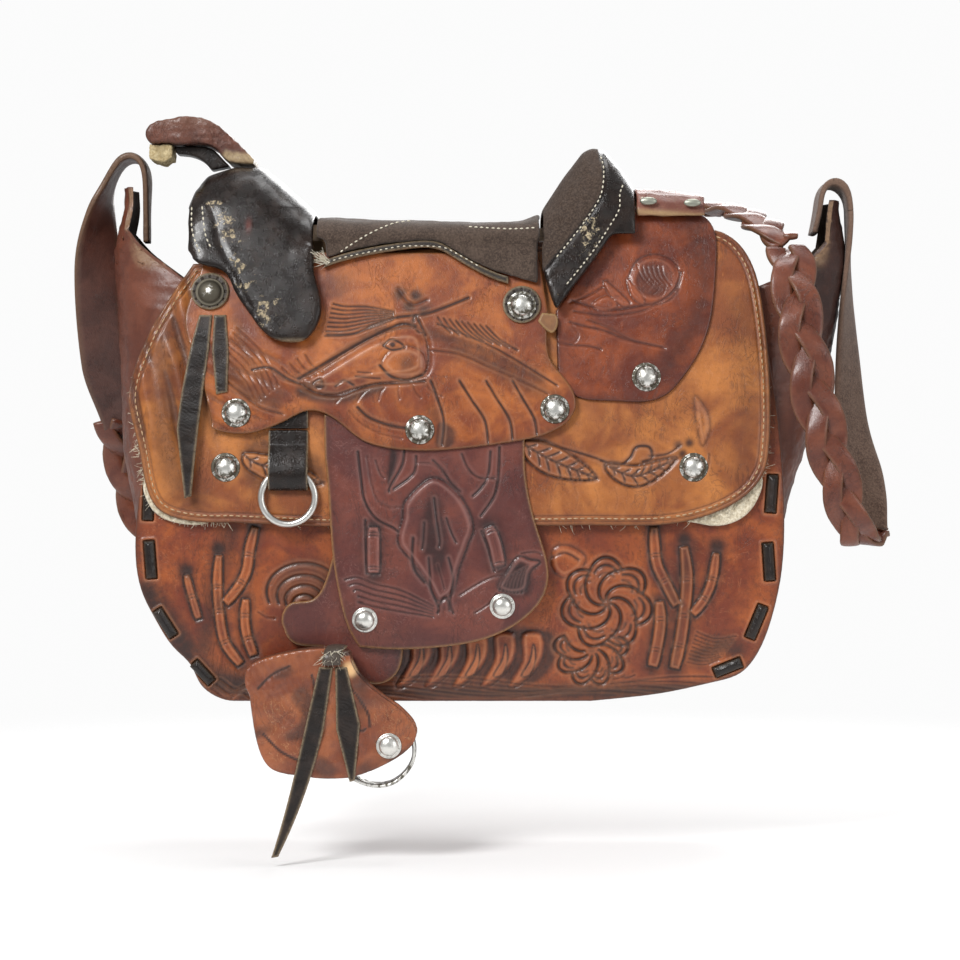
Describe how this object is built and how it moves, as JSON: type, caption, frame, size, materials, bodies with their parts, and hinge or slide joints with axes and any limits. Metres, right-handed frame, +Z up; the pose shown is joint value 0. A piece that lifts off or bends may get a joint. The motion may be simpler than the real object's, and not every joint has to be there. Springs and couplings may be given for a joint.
{
  "type": "saddle-shaped handbag",
  "caption": "Tooled-leather handbag in the shape of a western saddle, with a hinged saddle flap, hooded stirrup and a part-braided shoulder strap.",
  "frame": {"origin": "centre of the flat bottom the bag stands on, under the middle of its panels", "axes": "+Z up, the saddle side faces -Y, +X to the right seen from the front, towards the cantle"},
  "size_m": [0.3834, 0.1734, 0.3381],
  "materials": {
    "tooled_panel": "brown tooled leather, darkened in the tooling, semi-gloss",
    "lace": "black edge lace, worn",
    "gusset_leather": "plain reddish brown leather, satin",
    "skirt_leather": "tan tooled leather with a stitched border, semi-gloss",
    "fleece": "off-white fleece",
    "jockey_leather": "orange brown tooled leather, semi-gloss",
    "rear_jockey_leather": "deep red-brown tooled leather, glossy",
    "black_leather": "black leather, glossy and cracked",
    "horn_leather": "brown leather, worn smooth",
    "foam": "old yellow foam",
    "seat_suede": "dark brown suede",
    "band_leather": "brown leather with a raw tan edge",
    "silver": "tarnished silver domes, bright in the middle",
    "rivet_metal": "grey-green worn metal",
    "rosette_leather": "dark brown leather washer",
    "thong_leather": "raw brown thong",
    "ring_steel": "nickel-plated steel ring, worn",
    "fender_leather": "dark maroon tooled leather, satin",
    "stirrup_leather": "dark brown leather",
    "hood_leather": "brown leather, wrinkled and rubbed",
    "tree_wood": "plain wood, hidden",
    "strap_leather": "dark brown strap leather, matt flesh side",
    "snap_metal": "brass snap"
  },
  "bodies": {
    "bag": {"front_panel": "tooled_panel", "back_panel": "tooled_panel", "gusset": "gusset_leather", "front_lace": "lace", "back_lace": "lace", "back_skirt": "skirt_leather", "back_front_jockey": "jockey_leather", "back_rear_jockey": "rear_jockey_leather", "back_skirt_conchos": "silver", "back_jockey_conchos": "silver", "snap_stud": "snap_metal", "strap_end_right": "strap_leather", "strap_end_left": "strap_leather"},
    "saddle": {"skirt": "skirt_leather", "skirt_fleece": "fleece", "saddle_tree": "tree_wood", "front_jockey": "jockey_leather", "rear_jockey": "rear_jockey_leather", "swell_cover": "black_leather", "seat_cover": "seat_suede", "seat_binding": "black_leather", "cantle_cover": "black_leather", "rear_band": "band_leather", "rear_band_rivets": "rivet_metal", "horn_cover": "horn_leather", "horn_neck": "black_leather", "horn_pad": "foam", "skirt_conchos": "silver", "front_jockey_conchos": "silver", "rear_jockey_concho": "silver", "string_rosette": "rosette_leather", "string_concho": "silver", "seat_rosette": "rosette_leather", "seat_concho": "silver", "seat_thong": "thong_leather", "cinch_strap_top": "black_leather", "fender_top": "fender_leather", "snap_socket": "snap_metal"},
    "strings": {"saddle_strings": "black_leather"},
    "cinch": {"cinch_strap": "black_leather"},
    "ring": {"cinch_ring": "ring_steel"},
    "fender": {"fender": "fender_leather", "fender_conchos": "silver", "stirrup_strap": "stirrup_leather"},
    "stirrup": {"tapadero_hood": "hood_leather", "stirrup_frame": "ring_steel", "tapadero_concho": "silver", "tapadero_knot": "black_leather"},
    "tails": {"tapadero_strings": "black_leather"},
    "strap_right": {"strap_right_flat": "strap_leather", "strap_right_braid": "strap_leather"},
    "strap_left": {"strap_left_flat": "strap_leather", "strap_rear_braid": "strap_leather"}
  },
  "joints": [
    {"name": "flap_hinge", "type": "hinge", "parent": "bag", "child": "saddle", "pos_m": [0, 0.036, 0.2], "axis": [-1, 0, 0], "range_deg": [0, 75]},
    {"name": "strings_swing", "type": "hinge", "parent": "saddle", "child": "strings", "pos_m": [-0.114, -0.04807, 0.1762], "axis": [-1, 0, 0], "range_deg": [0, 70]},
    {"name": "cinch_swing", "type": "hinge", "parent": "saddle", "child": "cinch", "pos_m": [-0.0775, -0.05041, 0.124], "axis": [-1, 0, 0], "range_deg": [0, 60]},
    {"name": "ring_turn", "type": "hinge", "parent": "cinch", "child": "ring", "pos_m": [-0.0775, -0.05246, 0.0934], "axis": [0, 1, 0], "continuous": true},
    {"name": "fender_swing", "type": "hinge", "parent": "saddle", "child": "fender", "pos_m": [-0.016, -0.05098, 0.1142], "axis": [-1, 0, 0], "range_deg": [0, 75]},
    {"name": "stirrup_swing", "type": "hinge", "parent": "fender", "child": "stirrup", "pos_m": [-0.052, -0.047, 0.0262], "axis": [-1, 0, 0], "range_deg": [0, 60]},
    {"name": "tails_swing", "type": "hinge", "parent": "stirrup", "child": "tails", "pos_m": [-0.056, -0.06645, 0.0178], "axis": [-1, 0, 0], "range_deg": [0, 60]},
    {"name": "strap_right_swing", "type": "hinge", "parent": "bag", "child": "strap_right", "pos_m": [0.1824, 0, 0.2344], "axis": [0.6634, 0.5726, 0.4817], "range_deg": [-45, 0]},
    {"name": "strap_left_swing", "type": "hinge", "parent": "bag", "child": "strap_left", "pos_m": [-0.1654, 0, 0.2432], "axis": [-0.9926, 0.073, 0.0971], "range_deg": [-45, 0]}
  ]
}
